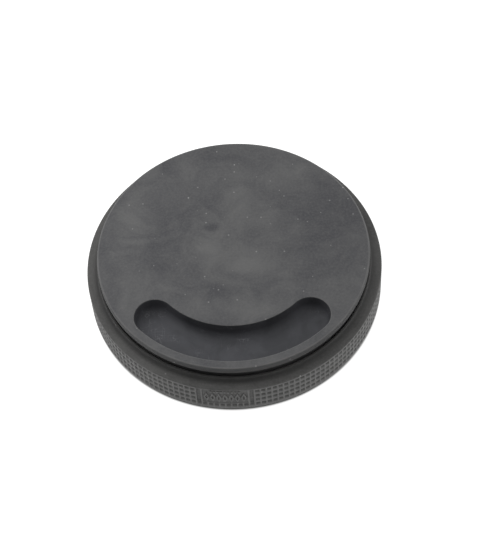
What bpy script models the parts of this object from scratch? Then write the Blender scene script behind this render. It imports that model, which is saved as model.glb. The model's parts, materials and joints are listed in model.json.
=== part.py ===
"""Revolving casing cushion for watch repair, in metres, +Z up.

A soft rubber disc with a crescent parts tray turns on a thrust ball bearing inside a heavy round base. The
base has a moulded rubber shell, whose dished shoulder rises to a collar just under the disc. The origin is
the centre of the underside, and the tray faces -Y. Heights are stacked from the foot up, and radii are set
inwards from the outside of the base.
"""

from math import acos, atan2, cos, pi, radians, sin, tau

import bmesh
import bpy
from mathutils import Matrix, Vector

MM = 0.001

# Fits
SEAT_GAP = 0.3 * MM  # between pieces that rest on each other
TURN_GAP = 0.4 * MM  # between pieces that turn past each other
RUN_GAP = 0.15 * MM  # radial clearance round the pivot and in the clip's groove
BALL_GAP = 0.1 * MM  # between a ball and its races

# Base
BASE_DIAMETER = 80 * MM
SHELL_WALL = 4.2 * MM
SHELL_EDGE_RADIUS = 1.1 * MM
WALL_TOP_RADIUS = 0.4 * MM
COLLAR_INSET = 3.0 * MM  # from the outside of the base to the collar under the disc
COLLAR_CHAMFER = 0.15 * MM
COLLAR_LIP = 0.4 * MM  # flat top of the collar, outside its flared mouth
COLLAR_FLARE_DEPTH = 2.2 * MM
COVE_RADIUS = 1.3 * MM  # between the collar and the flat ledge round it
PARTING_GAP = 1.1 * MM  # open height between the collar and the disc
PANEL_SPAN = radians(22)
PANEL_TURN = radians(-3)  # the panel's centre, from the tray's middle
PANEL_DEPTH = 0.3 * MM
PANEL_BOTTOM = 1.9 * MM  # from the shell's lower edge
PANEL_HEIGHT = 7.9 * MM

COVER_THICKNESS = 1.2 * MM
COVER_INSET = 2.0 * MM
CORE_FLOOR = 1.8 * MM  # steel under the bearing
CORE_FLANGE_WIDTH = 1.2 * MM
CORE_FLANGE_HEIGHT = 2.3 * MM

FOOT_PROUD = 0.4 * MM
FOOT_THICKNESS = 0.7 * MM
FOOT_INSET = 2.0 * MM
FOOT_WIDTH = 4.0 * MM

# Cover screws
SCREW_COUNT = 4
SCREW_INSET = 6.6 * MM  # from the outside of the core to the screw circle
SCREW_SHANK_RADIUS = 1.25 * MM
SCREW_HEAD_RADIUS = 2.4 * MM
SCREW_HEAD_HEIGHT = 1.15 * MM
SCREW_LENGTH = 4.4 * MM
SCREW_SUNK = 0.1 * MM
CROSS_LENGTH = 2.4 * MM
CROSS_WIDTH = 0.55 * MM
CROSS_DEPTH = 0.6 * MM

# Thrust bearing
BALL_COUNT = 12
BALL_DIAMETER = 3.0 * MM
BEARING_PITCH_RADIUS = 16 * MM
RACE_WIDTH = 5.0 * MM
RACE_THICKNESS = 1.2 * MM
RACE_GROOVE_DEPTH = 0.4 * MM
RACE_GROOVE_STEPS = 6
CAGE_WIDTH = 4.6 * MM
CAGE_CLEARANCE = 0.4 * MM
CAGE_POCKET_GAP = 0.2 * MM

# Pivot
PIVOT_RADIUS = 3.0 * MM
PIVOT_HEAD_RADIUS = 7.0 * MM
PIVOT_HEAD_THICKNESS = 0.9 * MM
PIVOT_HEAD_SUNK = 0.1 * MM
PIVOT_HEX_RADIUS = 2.2 * MM
PIVOT_HEX_DEPTH = 0.6 * MM
PIVOT_TIP_CHAMFER = 0.2 * MM
BUSH_WALL = 1.4 * MM
BUSH_FLANGE_WIDTH = 1.9 * MM
BUSH_FLANGE_THICKNESS = 0.9 * MM
WASHER_WIDTH = 4.4 * MM
THRUST_WASHER_THICKNESS = 0.5 * MM
WAVE_WASHER_WIDTH = 3.4 * MM
WAVE_WASHER_THICKNESS = 0.25 * MM
WAVE_HEIGHT = 0.12 * MM
WAVE_COUNT = 3
WASHER_GAP = 0.2 * MM
CLIP_THICKNESS = 0.5 * MM
CLIP_GROOVE_DEPTH = 0.7 * MM
CLIP_PROUD = 2.4 * MM  # outside the pivot
CLIP_OPENING = radians(80)
PIVOT_TIP = 0.5 * MM  # pivot left below the clip's groove

# Turning disc
DISC_INSET = 3.25 * MM  # from the outside of the base
DISC_EDGE_HEIGHT = 2.9 * MM
DISC_RIM_RADIUS = 0.5 * MM
DISC_UNDER_RADIUS = 1.3 * MM
PAD_WEB = 1.3 * MM  # rubber under the tray
SKIRT_THICKNESS = 1.7 * MM
LIP_WIDTH = 1.3 * MM
LIP_THICKNESS = 0.6 * MM
PLATE_THICKNESS = 2.0 * MM
RACE_SEAT_DEPTH = 1.1 * MM

# Parts tray, an arc-shaped slot round the axis
TRAY_DEPTH = 4.4 * MM
TRAY_WIDTH = 10.6 * MM
TRAY_RIM = 2.45 * MM  # rubber left between the tray and the disc's edge
TRAY_SPAN = radians(90)  # between the centres of its round ends
TRAY_FILLET = 1.2 * MM
TRAY_ARC_STEPS = 20
TRAY_END_STEPS = 8
TRAY_FILLET_STEPS = 4

# Facets round a full turn
OUTER_STEPS = 80
INNER_STEPS = 40
SMALL_STEPS = 24
HOLE_STEPS = 12
BALL_RINGS = 8

# Facets of a single curve
EDGE_STEPS = 3
COVE_STEPS = 4
PANEL_STEPS = 8
SHARP_ANGLE = radians(32)

CUTTER_RUN_OUT = 1 * MM  # how far a cutter passes the faces that it opens

# Heights, from the foot up
cover_bottom = FOOT_PROUD
cover_top = cover_bottom + COVER_THICKNESS
core_bottom = cover_top + SEAT_GAP
channel_floor = core_bottom + CORE_FLOOR
lower_race_bottom = channel_floor + SEAT_GAP
lower_race_top = lower_race_bottom + RACE_THICKNESS
race_to_ball_centre = BALL_DIAMETER / 2 + BALL_GAP - RACE_GROOVE_DEPTH
ball_height = lower_race_top + race_to_ball_centre
upper_race_bottom = ball_height + race_to_ball_centre
plate_bottom = upper_race_bottom + RACE_THICKNESS + SEAT_GAP - RACE_SEAT_DEPTH
plate_top = plate_bottom + PLATE_THICKNESS
pad_bottom = plate_top + SEAT_GAP
tray_floor = pad_bottom + PAD_WEB
disc_top = tray_floor + TRAY_DEPTH
disc_edge_bottom = disc_top - DISC_EDGE_HEIGHT
lip_bottom = plate_bottom - SEAT_GAP - LIP_THICKNESS
core_top = lip_bottom - TURN_GAP
collar_top = disc_edge_bottom - PARTING_GAP
wall_top = collar_top - COLLAR_CHAMFER - COVE_RADIUS
hub_top = plate_bottom - TURN_GAP - BUSH_FLANGE_THICKNESS - SEAT_GAP

# Heights on the pivot, from its tip up
pivot_tip_height = cover_top + TURN_GAP
clip_groove_bottom = pivot_tip_height + PIVOT_TIP
clip_bottom = clip_groove_bottom + RUN_GAP
clip_groove_top = clip_bottom + CLIP_THICKNESS + RUN_GAP
wave_washer_height = clip_bottom + CLIP_THICKNESS + WASHER_GAP + WAVE_HEIGHT
thrust_washer_bottom = wave_washer_height + WAVE_WASHER_THICKNESS + WAVE_HEIGHT + WASHER_GAP
recess_ceiling = thrust_washer_bottom + THRUST_WASHER_THICKNESS + WASHER_GAP

# Radii
base_radius = BASE_DIAMETER / 2
shell_bore = base_radius - SHELL_WALL
core_radius = shell_bore - SEAT_GAP
core_flange_radius = core_radius + CORE_FLANGE_WIDTH
cover_radius = base_radius - COVER_INSET
screw_circle = core_radius - SCREW_INSET
collar_radius = base_radius - COLLAR_INSET
disc_radius = base_radius - DISC_INSET
skirt_radius = shell_bore - TURN_GAP
plate_radius = skirt_radius - SKIRT_THICKNESS - SEAT_GAP
tray_radius = disc_radius - TRAY_RIM - TRAY_WIDTH / 2
race_inner = BEARING_PITCH_RADIUS - RACE_WIDTH / 2
race_outer = BEARING_PITCH_RADIUS + RACE_WIDTH / 2
pivot_bore = PIVOT_RADIUS + RUN_GAP
bush_radius = pivot_bore + BUSH_WALL
washer_radius = PIVOT_RADIUS + WASHER_WIDTH
recess_radius = washer_radius + SEAT_GAP * 2

TRAY_MIDDLE = -pi / 2
panel_middle = TRAY_MIDDLE + PANEL_TURN

# name: (colour, roughness, metallic)
FINISHES = {
    "pad_rubber": ((0.100, 0.098, 0.100), 0.78, 0.0),
    "shell_rubber": ((0.088, 0.087, 0.085), 0.70, 0.0),
    "foot_rubber": ((0.030, 0.030, 0.031), 0.85, 0.0),
    "machined_aluminium": ((0.72, 0.73, 0.74), 0.35, 1.0),
    "turned_steel": ((0.50, 0.50, 0.51), 0.40, 1.0),
    "bearing_steel": ((0.70, 0.70, 0.71), 0.15, 1.0),
    "spring_steel": ((0.42, 0.42, 0.44), 0.32, 1.0),
    "bronze": ((0.62, 0.42, 0.20), 0.38, 1.0),
    "cage_nylon": ((0.78, 0.76, 0.70), 0.50, 0.0),
    "black_nylon": ((0.035, 0.035, 0.037), 0.45, 0.0),
    "cover_coating": ((0.045, 0.045, 0.047), 0.55, 0.0),
}


def clear_scene():
    for thing in list(bpy.data.objects):
        bpy.data.objects.remove(thing, do_unlink=True)


def finish(name):
    """The named material, made the first time that a piece asks for it."""
    if name in bpy.data.materials:
        return bpy.data.materials[name]
    colour, roughness, metallic = FINISHES[name]
    material = bpy.data.materials.new(name)
    material.use_nodes = True
    shader = material.node_tree.nodes["Principled BSDF"]
    shader.inputs["Base Color"].default_value = (*colour, 1.0)
    shader.inputs["Roughness"].default_value = roughness
    shader.inputs["Metallic"].default_value = metallic
    return material


def object_from(name, bm, material=None):
    """Makes the bmesh an object with its faces pointing out. Without a material it is a hidden cutter."""
    bmesh.ops.recalc_face_normals(bm, faces=bm.faces)
    mesh = bpy.data.meshes.new(name)
    bm.to_mesh(mesh)
    bm.free()
    thing = bpy.data.objects.new(name, mesh)
    bpy.context.scene.collection.objects.link(thing)
    if material:
        mesh.materials.append(finish(material))
        mesh.shade_smooth()
        mesh.set_sharp_from_angle(angle=SHARP_ANGLE)
    else:
        thing.hide_render = True
        thing.display_type = "WIRE"
    return thing


def turned_mesh(section, steps):
    """A bmesh spun round Z from (radius, height) points. A section that ends on the axis isn't closed."""
    bm = bmesh.new()
    points = [bm.verts.new((radius, 0, height)) for radius, height in section]
    pairs = list(zip(points, points[1:]))
    if section[0][0] > 0:
        pairs.append((points[-1], points[0]))
    edges = [bm.edges.new(pair) for pair in pairs]
    bmesh.ops.spin(
        bm, geom=points + edges, cent=(0, 0, 0), axis=(0, 0, 1), angle=tau, steps=steps, use_merge=True
    )
    bmesh.ops.remove_doubles(bm, verts=bm.verts, dist=MM / 10000)
    return bm


def turned(name, section, steps, material=None):
    return object_from(name, turned_mesh(section, steps), material)


def ring_section(inner, outer, bottom, top):
    return [(inner, top), (outer, top), (outer, bottom), (inner, bottom)]


def arc_points(centre, radius, start, end, steps):
    """Points of an arc in the section's plane, from one angle to another."""
    angles = [start + (end - start) * step / steps for step in range(steps + 1)]
    return [(centre[0] + radius * cos(a), centre[1] + radius * sin(a)) for a in angles]


def around(count, radius, turn=0.0):
    """Places of a round pattern, as (x, y)."""
    angles = [turn + tau * index / count for index in range(count)]
    return [(radius * cos(a), radius * sin(a)) for a in angles]


def rods(name, places, stations, steps):
    """One cutter with a turned rod at each place. Its stations are (radius, height), bottom to top."""
    bm = bmesh.new()
    for x, y in places:
        rings = []
        for radius, height in stations:
            spots = around(steps, radius)
            rings.append([bm.verts.new((x + dx, y + dy, height)) for dx, dy in spots])
        for low, high in zip(rings, rings[1:]):
            for i in range(steps):
                bm.faces.new((low[i - 1], low[i], high[i], high[i - 1]))
        bm.faces.new(rings[0])
        bm.faces.new(rings[-1])
    return object_from(name, bm)


def prism(bm, outline, bottom, top):
    """A straight block on a flat outline of (x, y) points."""
    floor = bm.faces.new([bm.verts.new((x, y, bottom)) for x, y in outline])
    raised = bmesh.ops.extrude_face_region(bm, geom=[floor])
    corners = [item for item in raised["geom"] if isinstance(item, bmesh.types.BMVert)]
    bmesh.ops.translate(bm, verts=corners, vec=(0, 0, top - bottom))


def cut(piece, cutter):
    modifier = piece.modifiers.new(cutter.name, "BOOLEAN")
    modifier.operation = "DIFFERENCE"
    modifier.solver = "EXACT"
    modifier.object = cutter


def axis_empty(name):
    empty = bpy.data.objects.new(name, None)
    bpy.context.scene.collection.objects.link(empty)
    return empty


def sector_outline(inner, outer, middle, span, steps):
    """A flat ring sector, as (x, y) points."""
    angles = [middle - span / 2 + span * step / steps for step in range(steps + 1)]
    outside = [(outer * cos(a), outer * sin(a)) for a in angles]
    inside = [(inner * cos(a), inner * sin(a)) for a in reversed(angles)]
    return outside + inside


def tray_outline(half_width):
    """The arc-shaped slot with round ends: every point that is half_width from the tray's middle arc."""
    first = TRAY_MIDDLE - TRAY_SPAN / 2
    last = TRAY_MIDDLE + TRAY_SPAN / 2
    along = [first + TRAY_SPAN * step / TRAY_ARC_STEPS for step in range(TRAY_ARC_STEPS + 1)]
    turn = [pi * step / TRAY_END_STEPS for step in range(1, TRAY_END_STEPS)]
    outer = tray_radius + half_width
    inner = tray_radius - half_width
    points = [(outer * cos(a), outer * sin(a)) for a in along]
    for angle in turn:
        points.append(
            (
                tray_radius * cos(last) + half_width * cos(last + angle),
                tray_radius * sin(last) + half_width * sin(last + angle),
            )
        )
    points += [(inner * cos(a), inner * sin(a)) for a in reversed(along)]
    for angle in turn:
        points.append(
            (
                tray_radius * cos(first) + half_width * cos(first + pi + angle),
                tray_radius * sin(first) + half_width * sin(first + pi + angle),
            )
        )
    return points


def tray_cutter():
    """The tray's hollow, with a filleted floor. It runs out above the disc."""
    bm = bmesh.new()
    stations = [(TRAY_WIDTH / 2, disc_top + CUTTER_RUN_OUT)]
    for step in range(TRAY_FILLET_STEPS + 1):
        angle = pi / 2 * step / TRAY_FILLET_STEPS
        inset = TRAY_FILLET * (1 - cos(angle))
        stations.append((TRAY_WIDTH / 2 - inset, tray_floor + TRAY_FILLET * (1 - sin(angle))))
    rings = []
    for half_width, height in stations:
        rings.append([bm.verts.new((x, y, height)) for x, y in tray_outline(half_width)])
    for high, low in zip(rings, rings[1:]):
        for i in range(len(high)):
            bm.faces.new((high[i - 1], low[i - 1], low[i], high[i]))
    bm.faces.new(rings[0])
    bm.faces.new(rings[-1])
    return object_from("tray_cutter", bm)


def cushion_pad():
    """Rubber disc with the tray. Its skirt snaps over the carrier plate."""
    rim = (disc_radius - DISC_RIM_RADIUS, disc_top - DISC_RIM_RADIUS)
    under = (disc_radius - DISC_UNDER_RADIUS, disc_edge_bottom + DISC_UNDER_RADIUS)
    lip_inner = plate_radius - LIP_WIDTH + SEAT_GAP
    section = [(0, disc_top)]
    section += arc_points(rim, DISC_RIM_RADIUS, pi / 2, 0, EDGE_STEPS)
    section += arc_points(under, DISC_UNDER_RADIUS, 0, -pi / 2, EDGE_STEPS)
    section += [
        (skirt_radius, disc_edge_bottom),
        (skirt_radius, lip_bottom),
        (lip_inner, lip_bottom),
        (lip_inner, lip_bottom + LIP_THICKNESS),
        (plate_radius + SEAT_GAP, lip_bottom + LIP_THICKNESS),
        (plate_radius + SEAT_GAP, pad_bottom),
        (0, pad_bottom),
    ]
    pad = turned("cushion_pad", section, OUTER_STEPS, "pad_rubber")
    cut(pad, tray_cutter())
    return pad


def carrier_plate():
    """Stiff plate under the rubber, with the upper race's seat and a sunk seat for the pivot's head."""
    seat_radius = PIVOT_HEAD_RADIUS + SEAT_GAP
    seat_floor = plate_top - PIVOT_HEAD_SUNK - PIVOT_HEAD_THICKNESS - SEAT_GAP / 2
    groove_top = plate_bottom + RACE_SEAT_DEPTH
    section = [
        (seat_radius, plate_top),
        (plate_radius, plate_top),
        (plate_radius, plate_bottom),
        (race_outer + SEAT_GAP, plate_bottom),
        (race_outer + SEAT_GAP, groove_top),
        (race_inner - SEAT_GAP, groove_top),
        (race_inner - SEAT_GAP, plate_bottom),
        (pivot_bore, plate_bottom),
        (pivot_bore, seat_floor),
        (seat_radius, seat_floor),
    ]
    return turned("carrier_plate", section, INNER_STEPS, "machined_aluminium")


def race(name, plain_height, grooved_height):
    """A bearing ring with a round groove in the face nearest the balls."""
    reach = BALL_DIAMETER / 2 + BALL_GAP
    half_angle = acos(race_to_ball_centre / reach)
    towards = -pi / 2 if grooved_height < ball_height else pi / 2
    centre = (BEARING_PITCH_RADIUS, ball_height)
    groove = arc_points(centre, reach, towards - half_angle, towards + half_angle, RACE_GROOVE_STEPS)
    section = [
        (race_inner, plain_height),
        (race_outer, plain_height),
        (race_outer, grooved_height),
    ]
    section += sorted(groove, reverse=True)
    section += [(race_inner, grooved_height)]
    return turned(name, section, INNER_STEPS, "bearing_steel")


def ball_cage():
    """Nylon ring with a round pocket for each ball."""
    half_height = race_to_ball_centre - CAGE_CLEARANCE
    section = ring_section(
        BEARING_PITCH_RADIUS - CAGE_WIDTH / 2,
        BEARING_PITCH_RADIUS + CAGE_WIDTH / 2,
        ball_height - half_height,
        ball_height + half_height,
    )
    cage = turned("ball_cage", section, INNER_STEPS, "cage_nylon")
    pocket_radius = BALL_DIAMETER / 2 + CAGE_POCKET_GAP
    stations = [(pocket_radius, ball_height - BALL_DIAMETER), (pocket_radius, ball_height + BALL_DIAMETER)]
    places = around(BALL_COUNT, BEARING_PITCH_RADIUS)
    cut(cage, rods("pocket_cutter", places, stations, HOLE_STEPS))
    return cage


def bearing_balls():
    """The balls share one mesh. Each has its origin at its centre."""
    bm = bmesh.new()
    bmesh.ops.create_uvsphere(bm, u_segments=HOLE_STEPS, v_segments=BALL_RINGS, radius=BALL_DIAMETER / 2)
    first = object_from("bearing_ball_01", bm, "bearing_steel")
    balls = [first]
    for index in range(1, BALL_COUNT):
        ball = bpy.data.objects.new(f"bearing_ball_{index + 1:02d}", first.data)
        bpy.context.scene.collection.objects.link(ball)
        balls.append(ball)
    for ball, (x, y) in zip(balls, around(BALL_COUNT, BEARING_PITCH_RADIUS)):
        ball.location = (x, y, ball_height)
    return balls


def pivot_bolt():
    """Shoulder bolt that holds the turning disc down. It turns with the plate."""
    head_top = plate_top - PIVOT_HEAD_SUNK
    head_bottom = head_top - PIVOT_HEAD_THICKNESS
    groove_radius = PIVOT_RADIUS - CLIP_GROOVE_DEPTH
    section = [
        (0, head_top),
        (PIVOT_HEAD_RADIUS, head_top),
        (PIVOT_HEAD_RADIUS, head_bottom),
        (PIVOT_RADIUS, head_bottom),
        (PIVOT_RADIUS, clip_groove_top),
        (groove_radius, clip_groove_top),
        (groove_radius, clip_groove_bottom),
        (PIVOT_RADIUS, clip_groove_bottom),
        (PIVOT_RADIUS, pivot_tip_height + PIVOT_TIP_CHAMFER),
        (PIVOT_RADIUS - PIVOT_TIP_CHAMFER, pivot_tip_height),
        (0, pivot_tip_height),
    ]
    bolt = turned("pivot_bolt", section, SMALL_STEPS, "turned_steel")
    stations = [
        (PIVOT_HEX_RADIUS, head_top - PIVOT_HEX_DEPTH),
        (PIVOT_HEX_RADIUS, head_top + CUTTER_RUN_OUT),
    ]
    cut(bolt, rods("hex_cutter", [(0, 0)], stations, 6))
    return bolt


def retaining_clip():
    """Open ring that snaps into the pivot's groove."""
    inner = PIVOT_RADIUS - CLIP_GROOVE_DEPTH + RUN_GAP
    outer = PIVOT_RADIUS + CLIP_PROUD
    bm = bmesh.new()
    outline = sector_outline(inner, outer, pi / 2, tau - CLIP_OPENING, SMALL_STEPS)
    prism(bm, outline, clip_bottom, clip_bottom + CLIP_THICKNESS)
    return object_from("retaining_clip", bm, "spring_steel")


def thrust_washer():
    section = ring_section(
        pivot_bore, washer_radius, thrust_washer_bottom, thrust_washer_bottom + THRUST_WASHER_THICKNESS
    )
    return turned("thrust_washer", section, SMALL_STEPS, "black_nylon")


def wave_washer():
    """Thin spring ring whose height rises and falls round the pivot."""
    section = ring_section(
        pivot_bore + SEAT_GAP,
        PIVOT_RADIUS + WAVE_WASHER_WIDTH,
        wave_washer_height,
        wave_washer_height + WAVE_WASHER_THICKNESS,
    )
    bm = turned_mesh(section, INNER_STEPS)
    for vert in bm.verts:
        turn = atan2(vert.co.y, vert.co.x)
        vert.co.z += WAVE_HEIGHT * cos(WAVE_COUNT * turn)
    return object_from("wave_washer", bm, "spring_steel")


def centre_bush():
    flange_top = plate_bottom - TURN_GAP
    section = [
        (pivot_bore, flange_top),
        (bush_radius + BUSH_FLANGE_WIDTH, flange_top),
        (bush_radius + BUSH_FLANGE_WIDTH, flange_top - BUSH_FLANGE_THICKNESS),
        (bush_radius, flange_top - BUSH_FLANGE_THICKNESS),
        (bush_radius, recess_ceiling + WASHER_GAP),
        (pivot_bore, recess_ceiling + WASHER_GAP),
    ]
    return turned("centre_bush", section, SMALL_STEPS, "bronze")


def base_core():
    """Heavy steel disc, with the bearing's channel, the bush's bore and a recess for the pivot's end."""
    bush_seat = bush_radius + SEAT_GAP
    flange_top = core_bottom + CORE_FLANGE_HEIGHT
    section = [
        (bush_seat, hub_top),
        (race_inner - SEAT_GAP, hub_top),
        (race_inner - SEAT_GAP, channel_floor),
        (race_outer + SEAT_GAP, channel_floor),
        (race_outer + SEAT_GAP, core_top),
        (core_radius, core_top),
        (core_radius, flange_top),
        (core_flange_radius, flange_top),
        (core_flange_radius, core_bottom),
        (recess_radius, core_bottom),
        (recess_radius, recess_ceiling),
        (bush_seat, recess_ceiling),
    ]
    core = turned("base_core", section, INNER_STEPS, "turned_steel")
    hole_radius = SCREW_SHANK_RADIUS + SEAT_GAP
    hole_top = cover_bottom + SCREW_SUNK + SCREW_LENGTH + SEAT_GAP
    stations = [(hole_radius, core_bottom - CUTTER_RUN_OUT), (hole_radius, hole_top)]
    cut(core, rods("core_hole_cutter", screw_places(), stations, HOLE_STEPS))
    return core


def grip_shell():
    """Rubber ring round the core, with a collar, a dished shoulder and a shallow plain front panel."""
    low_edge = (base_radius - SHELL_EDGE_RADIUS, cover_bottom + SHELL_EDGE_RADIUS)
    high_edge = (base_radius - WALL_TOP_RADIUS, wall_top - WALL_TOP_RADIUS)
    cove_centre = (collar_radius + COVE_RADIUS, collar_top - COLLAR_CHAMFER)
    flange_seat = core_flange_radius + SEAT_GAP
    cover_seat = cover_radius + SEAT_GAP
    section = [(collar_radius - COLLAR_LIP, collar_top), (collar_radius - COLLAR_CHAMFER, collar_top)]
    section += arc_points(cove_centre, COVE_RADIUS, pi, 3 * pi / 2, COVE_STEPS)
    section += arc_points(high_edge, WALL_TOP_RADIUS, pi / 2, 0, EDGE_STEPS)
    section += arc_points(low_edge, SHELL_EDGE_RADIUS, 0, -pi / 2, EDGE_STEPS)
    section += [
        (cover_seat, cover_bottom),
        (cover_seat, core_bottom),
        (flange_seat, core_bottom),
        (flange_seat, core_bottom + CORE_FLANGE_HEIGHT + SEAT_GAP),
        (shell_bore, core_bottom + CORE_FLANGE_HEIGHT + SEAT_GAP),
        (shell_bore, collar_top - COLLAR_FLARE_DEPTH),
    ]
    shell = turned("grip_shell", section, OUTER_STEPS, "shell_rubber")
    bm = bmesh.new()
    panel_radius = base_radius - PANEL_DEPTH
    cutter_radius = base_radius + CUTTER_RUN_OUT
    outline = sector_outline(panel_radius, cutter_radius, panel_middle, PANEL_SPAN, PANEL_STEPS)
    panel_low = cover_bottom + PANEL_BOTTOM
    prism(bm, outline, panel_low, panel_low + PANEL_HEIGHT)
    cut(shell, object_from("panel_cutter", bm))
    return shell


def bottom_cover():
    """Plate that clamps the shell to the core, with a groove for the foot ring and countersunk holes."""
    groove_outer = cover_radius - FOOT_INSET + SEAT_GAP
    groove_inner = cover_radius - FOOT_INSET - FOOT_WIDTH - SEAT_GAP
    groove_top = FOOT_THICKNESS + SEAT_GAP
    section = [
        (0, cover_top),
        (cover_radius, cover_top),
        (cover_radius, cover_bottom),
        (groove_outer, cover_bottom),
        (groove_outer, groove_top),
        (groove_inner, groove_top),
        (groove_inner, cover_bottom),
        (0, cover_bottom),
    ]
    cover = turned("bottom_cover", section, INNER_STEPS, "cover_coating")
    sunk = cover_bottom + SCREW_SUNK
    stations = [
        (SCREW_HEAD_RADIUS + SEAT_GAP, cover_bottom - CUTTER_RUN_OUT),
        (SCREW_HEAD_RADIUS + SEAT_GAP, sunk),
        (SCREW_SHANK_RADIUS + SEAT_GAP, sunk + SCREW_HEAD_HEIGHT),
        (SCREW_SHANK_RADIUS + SEAT_GAP, cover_top + CUTTER_RUN_OUT),
    ]
    cut(cover, rods("cover_hole_cutter", screw_places(), stations, HOLE_STEPS))
    return cover


def screw_places():
    return around(SCREW_COUNT, screw_circle, pi / SCREW_COUNT)


def cover_screws():
    """Countersunk cross-head screws, driven from below. Each origin is the middle of its head's face."""
    section = [
        (0, SCREW_LENGTH),
        (SCREW_SHANK_RADIUS, SCREW_LENGTH),
        (SCREW_SHANK_RADIUS, SCREW_HEAD_HEIGHT),
        (SCREW_HEAD_RADIUS, 0),
        (0, 0),
    ]
    long_half = CROSS_LENGTH / 2
    short_half = CROSS_WIDTH / 2
    arm = [(short_half, short_half), (long_half, short_half), (long_half, -short_half)]
    for index, (x, y) in enumerate(screw_places()):
        name = f"cover_screw_{index + 1}"
        screw = turned(name, section, HOLE_STEPS, "turned_steel")
        screw.location = (x, y, cover_bottom + SCREW_SUNK)
        bm = bmesh.new()
        outline = []
        for quarter_turn in range(4):
            turn = Matrix.Rotation(-pi / 2 * quarter_turn, 2)
            outline += [tuple(turn @ Vector(point)) for point in arm]
        prism(bm, outline, -CUTTER_RUN_OUT, CROSS_DEPTH)
        cross = object_from(f"cross_cutter_{index + 1}", bm)
        cross.parent = screw
        cut(screw, cross)


def foot_ring():
    outer = cover_radius - FOOT_INSET
    section = ring_section(outer - FOOT_WIDTH, outer, 0, FOOT_THICKNESS)
    return turned("foot_ring", section, OUTER_STEPS, "foot_rubber")


def main():
    clear_scene()
    turntable = axis_empty("turntable_axis")
    upper_race_top = upper_race_bottom + RACE_THICKNESS
    turning = [cushion_pad(), carrier_plate(), race("upper_race", upper_race_top, upper_race_bottom)]
    turning += [pivot_bolt(), retaining_clip()]
    for piece in turning:
        piece.parent = turntable
    cage_turn = axis_empty("cage_axis")
    for piece in [ball_cage(), *bearing_balls()]:
        piece.parent = cage_turn
    race("lower_race", lower_race_bottom, lower_race_top)
    thrust_washer()
    wave_washer()
    centre_bush()
    base_core()
    grip_shell()
    bottom_cover()
    cover_screws()
    foot_ring()


main()
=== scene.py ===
"""Looks of a revolving casing cushion for watch repair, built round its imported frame. Lengths are in metres.

The rubber disc, the rubber shell, the bottom cover, its screws and the foot ring are made again here
with their fine shape. The pieces inside keep their CAD meshes and get worked materials.
"""

import json
from itertools import chain, repeat
from math import cos, pi, radians, sin, tau

import bmesh
import bpy
from mathutils import Matrix, Vector


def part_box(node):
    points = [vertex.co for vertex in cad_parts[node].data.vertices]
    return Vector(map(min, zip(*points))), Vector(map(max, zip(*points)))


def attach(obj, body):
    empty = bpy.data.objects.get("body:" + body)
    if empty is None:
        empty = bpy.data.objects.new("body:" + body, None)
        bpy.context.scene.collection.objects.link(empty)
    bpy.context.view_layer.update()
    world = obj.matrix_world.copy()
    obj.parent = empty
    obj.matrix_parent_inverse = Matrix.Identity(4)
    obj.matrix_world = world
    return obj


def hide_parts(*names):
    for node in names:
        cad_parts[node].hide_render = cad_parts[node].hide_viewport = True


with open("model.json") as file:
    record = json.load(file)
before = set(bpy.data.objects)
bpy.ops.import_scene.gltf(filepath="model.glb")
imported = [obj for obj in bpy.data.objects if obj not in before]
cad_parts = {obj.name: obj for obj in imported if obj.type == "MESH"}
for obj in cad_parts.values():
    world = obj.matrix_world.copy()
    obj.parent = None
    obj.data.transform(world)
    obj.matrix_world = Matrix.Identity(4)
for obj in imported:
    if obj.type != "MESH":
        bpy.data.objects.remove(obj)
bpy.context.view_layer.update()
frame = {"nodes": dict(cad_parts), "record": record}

MM = 0.001

# Places read from the frame
shell_low, shell_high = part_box("grip_shell")
pad_low, pad_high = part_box("cushion_pad")
cover_low, cover_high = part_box("bottom_cover")
_, foot_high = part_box("foot_ring")
screw_low, screw_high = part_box("cover_screw_1")
_, plate_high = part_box("carrier_plate")
core_low, core_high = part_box("base_core")
base_radius = shell_high.x
shell_bottom = shell_low.z
collar_top = shell_high.z
disc_radius = pad_high.x
disc_top = pad_high.z
lip_bottom = pad_low.z

# Sizes that repeat the CAD model's
SEAT_GAP = 0.3 * MM
TURN_GAP = 0.4 * MM
SHELL_WALL = 4.2 * MM
SHELL_EDGE_RADIUS = 1.1 * MM
WALL_TOP_RADIUS = 0.4 * MM
COVE_RADIUS = 1.3 * MM
COLLAR_INSET = 3.0 * MM
COLLAR_CHAMFER = 0.15 * MM
COLLAR_LIP = 0.4 * MM  # flat top of the collar, outside its flared mouth
COLLAR_FLARE_DEPTH = 2.2 * MM
CORE_FLANGE_HEIGHT = 2.3 * MM
DISC_EDGE_HEIGHT = 2.9 * MM
DISC_RIM_RADIUS = 0.5 * MM
DISC_UNDER_RADIUS = 1.3 * MM
LIP_WIDTH = 1.3 * MM
LIP_THICKNESS = 0.6 * MM
TRAY_DEPTH = 4.4 * MM
TRAY_WIDTH = 10.6 * MM
TRAY_RIM = 2.45 * MM
TRAY_SPAN = radians(90)
TRAY_MIDDLE = -pi / 2
PANEL_TURN = radians(-3)

shell_bore = base_radius - SHELL_WALL
skirt_radius = shell_bore - TURN_GAP
collar_radius = base_radius - COLLAR_INSET
tray_radius = disc_radius - TRAY_RIM - TRAY_WIDTH / 2
tray_floor = disc_top - TRAY_DEPTH
wall_top = collar_top - COLLAR_CHAMFER - COVE_RADIUS

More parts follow.
